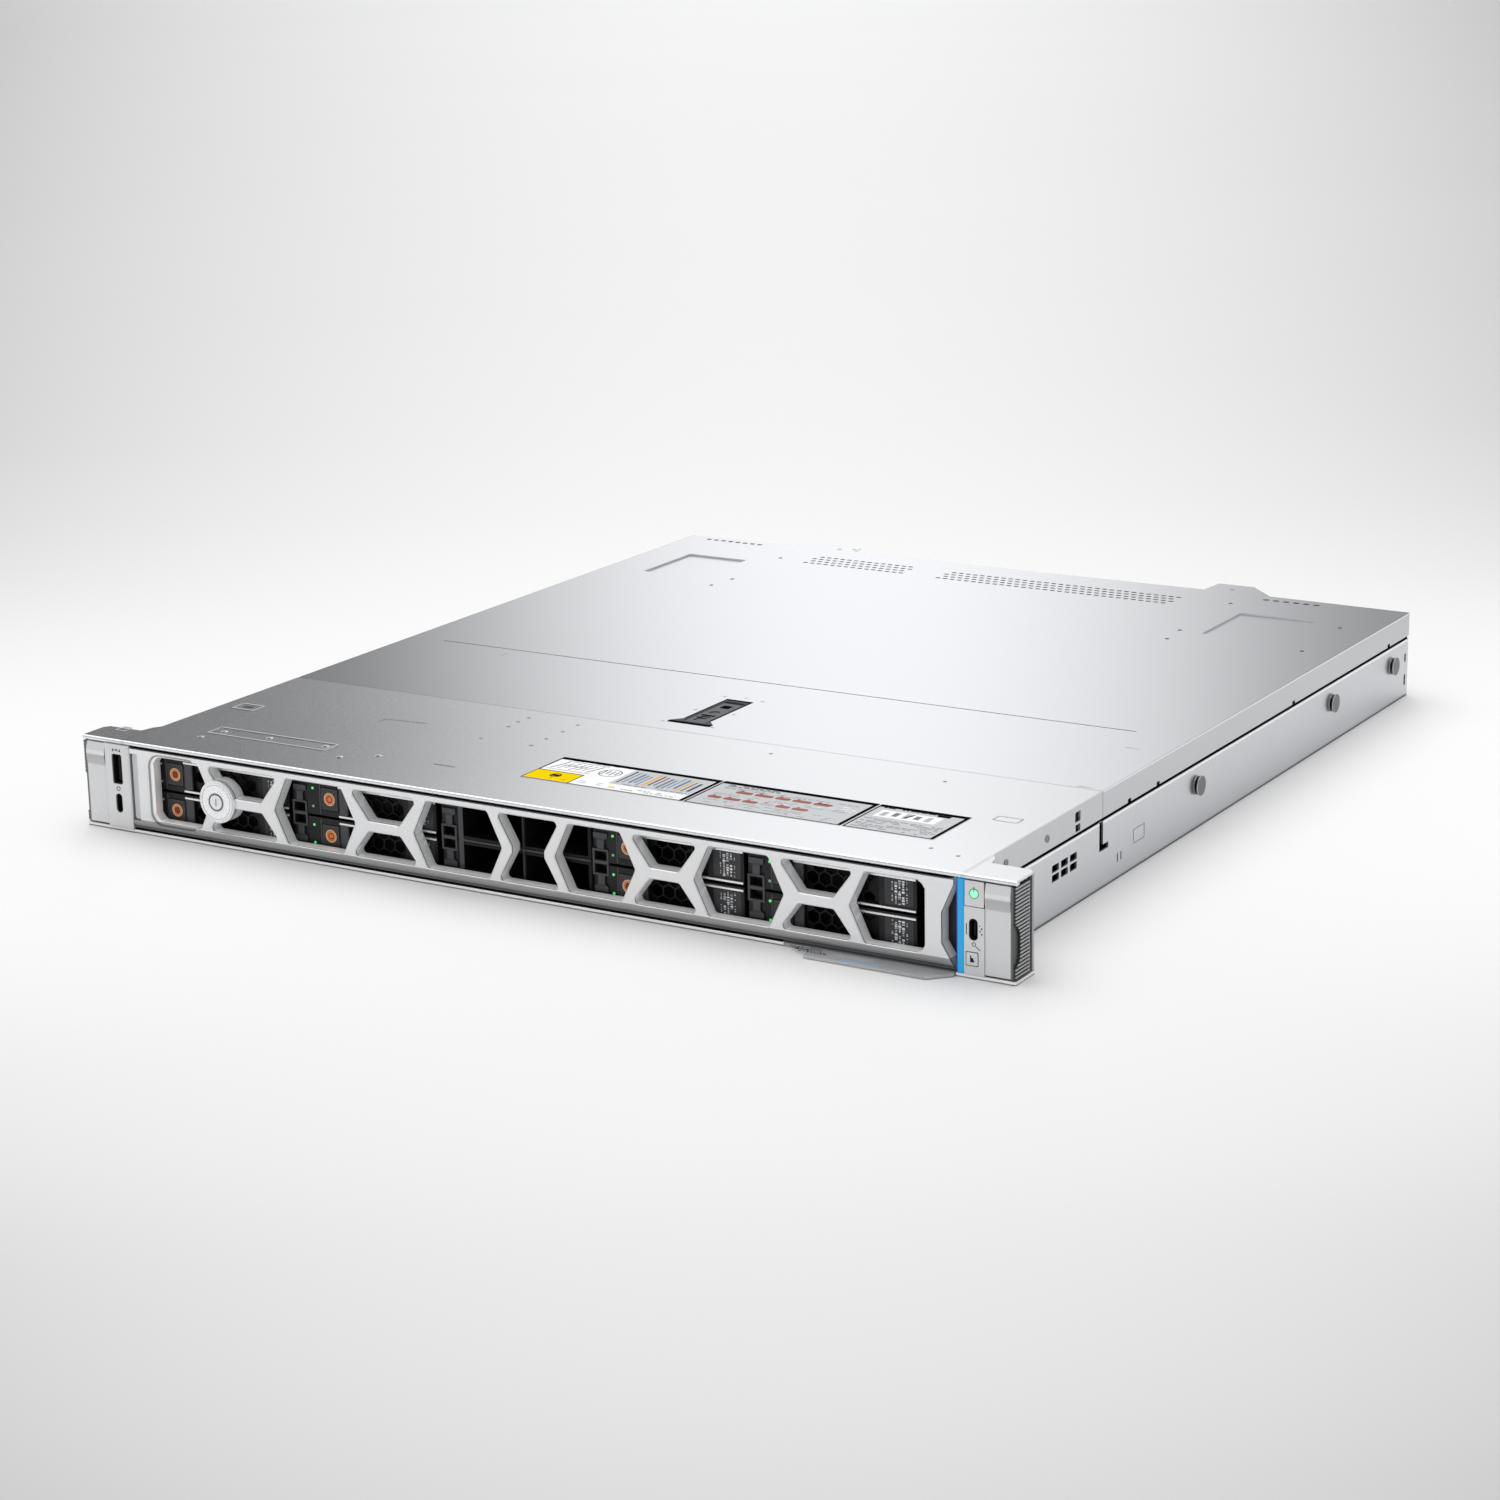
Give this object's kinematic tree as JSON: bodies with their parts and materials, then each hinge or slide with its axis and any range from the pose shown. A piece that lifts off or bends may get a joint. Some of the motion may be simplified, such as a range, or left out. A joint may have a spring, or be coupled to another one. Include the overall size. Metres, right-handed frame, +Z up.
{
  "type": "1u rack server",
  "caption": "Rack server one unit high with a lattice front cover, drive carriers, ear levers, a sliding top cover, fans, boards and rear power supplies",
  "frame": {"origin": "on the underside, on the centre line, in the plane where the rack ears meet the rack posts", "axes": "+X to the right seen from the front, +Y to the rear, +Z up"},
  "size_m": [0.482, 0.529, 0.0436],
  "materials": {
    "silver_sheet": "satin light grey pre-coated steel sheet",
    "bright_aluminium": "satin silver aluminium",
    "black_plastic": "matte black",
    "dark_grey_plastic": "matte dark grey",
    "dark_metal": "black coated steel",
    "grip_metal": "dark grey satin coat",
    "orange_button": "orange touch point",
    "cyan_light": "lit status strip",
    "panel_button": "satin silver plastic",
    "board_green": "green solder mask",
    "chrome_small": "bright plated",
    "fin_aluminium": "machined aluminium fins",
    "label_film": "printed film",
    "fan_plastic": "black moulded fan",
    "cable_jacket": "dark cable jacket",
    "latch_blue": "blue touch point",
    "steel_screw": "zinc plated"
  },
  "bodies": {
    "chassis": {"air_shroud": "black_plastic", "chassis_tray": "silver_sheet", "cpu_heatsinks": "fin_aluminium", "drive_backplane": "board_green", "drive_blanks": "black_plastic", "drive_cables": "cable_jacket", "drive_cage": "black_plastic", "drive_carriers": "dark_grey_plastic", "drive_modules": "dark_metal", "fan_housings": "fan_plastic", "front_flange": "bright_aluminium", "front_port_shells": "dark_metal", "front_top_panel": "silver_sheet", "left_control_panel": "bright_aluminium", "memory_modules": "board_green", "network_card": "board_green", "processors": "steel_screw", "rear_io_ports": "chrome_small", "rear_wall": "silver_sheet", "right_control_panel": "bright_aluminium", "riser_card": "board_green", "service_label": "label_film", "side_studs_and_screws": "steel_screw", "status_light_strip": "cyan_light", "system_board": "board_green"},
    "cover": {"top_cover": "silver_sheet", "latch_base": "black_plastic"},
    "cover_latch": {"latch_handle": "dark_grey_plastic"},
    "bezel": {"bezel_frame": "bright_aluminium"},
    "bezel_keylock": {"bezel_lock": "chrome_small"},
    "bezel_release": {"bezel_release_lever": "grip_metal"},
    "power_key": {"power_button": "panel_button"},
    "id_key": {"id_button": "panel_button"},
    "tag": {"info_tag": "bright_aluminium"},
    "left_ear_lever": {"left_ear_cap": "bright_aluminium", "left_ear_grip": "grip_metal"},
    "right_ear_lever": {"right_ear_cap": "bright_aluminium", "right_ear_grip": "grip_metal"},
    "left_rack_screw": {"left_ear_screw": "steel_screw"},
    "right_rack_screw": {"right_ear_screw": "steel_screw"},
    "left_psu": {"left_psu_case": "silver_sheet", "left_psu_inlet": "black_plastic"},
    "right_psu": {"right_psu_case": "silver_sheet", "right_psu_inlet": "black_plastic"},
    "left_psu_tab": {"left_psu_latch": "latch_blue"},
    "right_psu_tab": {"right_psu_latch": "latch_blue"},
    "left_psu_fan": {"left_psu_rotor": "fan_plastic"},
    "right_psu_fan": {"right_psu_rotor": "fan_plastic"},
    "carrier_key_1": {"drive_button_1": "orange_button"},
    "carrier_key_2": {"drive_button_2": "orange_button"},
    "carrier_key_3": {"drive_button_3": "orange_button"},
    "carrier_key_4": {"drive_button_4": "orange_button"},
    "carrier_key_5": {"drive_button_5": "orange_button"},
    "carrier_key_6": {"drive_button_6": "orange_button"},
    "carrier_key_7": {"drive_button_7": "orange_button"},
    "carrier_key_8": {"drive_button_8": "orange_button"},
    "fan_1": {"fan_rotor_1": "fan_plastic"},
    "fan_2": {"fan_rotor_2": "fan_plastic"},
    "fan_3": {"fan_rotor_3": "fan_plastic"},
    "fan_4": {"fan_rotor_4": "fan_plastic"}
  },
  "joints": [
    {"name": "cover_slide", "type": "slide", "parent": "chassis", "child": "cover", "axis": [0, 1, 0], "range_m": [0, 0.012]},
    {"name": "cover_latch_lift", "type": "hinge", "parent": "cover", "child": "cover_latch", "pos_m": [0, 0.1664, 0.0426], "axis": [-1, 0, 0], "range_deg": [0, 75]},
    {"name": "bezel_swing", "type": "hinge", "parent": "chassis", "child": "bezel", "pos_m": [0.2114, -0.0153, 0.022], "axis": [0, 0, 1], "range_deg": [0, 25]},
    {"name": "bezel_lock_turn", "type": "hinge", "parent": "bezel", "child": "bezel_keylock", "pos_m": [-0.1617, -0.017, 0.02205], "axis": [0, 1, 0], "range_deg": [0, 90]},
    {"name": "bezel_release_press", "type": "slide", "parent": "bezel", "child": "bezel_release", "axis": [0, 1, 0], "range_m": [0, 0.0012], "stiffness_N_per_m": 400},
    {"name": "power_button_press", "type": "slide", "parent": "chassis", "child": "power_key", "axis": [0, 1, 0], "range_m": [0, 0.0008], "stiffness_N_per_m": 400},
    {"name": "id_button_press", "type": "slide", "parent": "chassis", "child": "id_key", "axis": [0, 1, 0], "range_m": [0, 0.0008], "stiffness_N_per_m": 400},
    {"name": "info_tag_slide", "type": "slide", "parent": "chassis", "child": "tag", "axis": [0, -1, 0], "range_m": [0, 0.04]},
    {"name": "right_ear_swing", "type": "hinge", "parent": "chassis", "child": "right_ear_lever", "pos_m": [0.2386, -0.0042, 0.022], "axis": [0, 0, 1], "range_deg": [0, 60]},
    {"name": "left_ear_swing", "type": "hinge", "parent": "chassis", "child": "left_ear_lever", "pos_m": [-0.2386, -0.0042, 0.022], "axis": [0, 0, -1], "range_deg": [0, 60]},
    {"name": "right_rack_screw_turn", "type": "hinge", "parent": "chassis", "child": "right_rack_screw", "pos_m": [0.23255, 0, 0.0218], "axis": [0, 1, 0], "continuous": true},
    {"name": "left_rack_screw_turn", "type": "hinge", "parent": "chassis", "child": "left_rack_screw", "pos_m": [-0.23255, 0, 0.0218], "axis": [0, 1, 0], "continuous": true},
    {"name": "carrier_key_1_press", "type": "slide", "parent": "chassis", "child": "carrier_key_1", "axis": [0, 1, 0], "range_m": [0, 0.0012], "stiffness_N_per_m": 400},
    {"name": "carrier_key_2_press", "type": "slide", "parent": "chassis", "child": "carrier_key_2", "axis": [0, 1, 0], "range_m": [0, 0.0012], "stiffness_N_per_m": 400},
    {"name": "carrier_key_3_press", "type": "slide", "parent": "chassis", "child": "carrier_key_3", "axis": [0, 1, 0], "range_m": [0, 0.0012], "stiffness_N_per_m": 400},
    {"name": "carrier_key_4_press", "type": "slide", "parent": "chassis", "child": "carrier_key_4", "axis": [0, 1, 0], "range_m": [0, 0.0012], "stiffness_N_per_m": 400},
    {"name": "carrier_key_5_press", "type": "slide", "parent": "chassis", "child": "carrier_key_5", "axis": [0, 1, 0], "range_m": [0, 0.0012], "stiffness_N_per_m": 400},
    {"name": "carrier_key_6_press", "type": "slide", "parent": "chassis", "child": "carrier_key_6", "axis": [0, 1, 0], "range_m": [0, 0.0012], "stiffness_N_per_m": 400},
    {"name": "carrier_key_7_press", "type": "slide", "parent": "chassis", "child": "carrier_key_7", "axis": [0, 1, 0], "range_m": [0, 0.0012], "stiffness_N_per_m": 400},
    {"name": "carrier_key_8_press", "type": "slide", "parent": "chassis", "child": "carrier_key_8", "axis": [0, 1, 0], "range_m": [0, 0.0012], "stiffness_N_per_m": 400},
    {"name": "fan_1_spin", "type": "hinge", "parent": "chassis", "child": "fan_1", "pos_m": [-0.15, 0.128, 0.0212], "axis": [0, 1, 0], "continuous": true},
    {"name": "fan_2_spin", "type": "hinge", "parent": "chassis", "child": "fan_2", "pos_m": [-0.05, 0.128, 0.0212], "axis": [0, 1, 0], "continuous": true},
    {"name": "fan_3_spin", "type": "hinge", "parent": "chassis", "child": "fan_3", "pos_m": [0.05, 0.128, 0.0212], "axis": [0, 1, 0], "continuous": true},
    {"name": "fan_4_spin", "type": "hinge", "parent": "chassis", "child": "fan_4", "pos_m": [0.15, 0.128, 0.0212], "axis": [0, 1, 0], "continuous": true},
    {"name": "right_psu_slide", "type": "slide", "parent": "chassis", "child": "right_psu", "axis": [0, 1, 0], "range_m": [0, 0.18]},
    {"name": "left_psu_slide", "type": "slide", "parent": "chassis", "child": "left_psu", "axis": [0, 1, 0], "range_m": [0, 0.18]},
    {"name": "right_psu_tab_press", "type": "hinge", "parent": "right_psu", "child": "right_psu_tab", "pos_m": [0.1724, 0.4832, 0.033], "axis": [0, 0, 1], "range_deg": [0, 8], "stiffness_Nm_per_rad": 0.5},
    {"name": "left_psu_tab_press", "type": "hinge", "parent": "left_psu", "child": "left_psu_tab", "pos_m": [-0.1724, 0.4832, 0.033], "axis": [0, 0, -1], "range_deg": [0, 8], "stiffness_Nm_per_rad": 0.5},
    {"name": "right_psu_fan_spin", "type": "hinge", "parent": "right_psu", "child": "right_psu_fan", "pos_m": [0.1905, 0.47, 0.021], "axis": [0, 1, 0], "continuous": true},
    {"name": "left_psu_fan_spin", "type": "hinge", "parent": "left_psu", "child": "left_psu_fan", "pos_m": [-0.1905, 0.47, 0.021], "axis": [0, 1, 0], "continuous": true}
  ],
  "couplings": [
    {"joint": "cover_latch_lift", "follows": "cover_slide", "rad_per_m": 109.08}
  ]
}
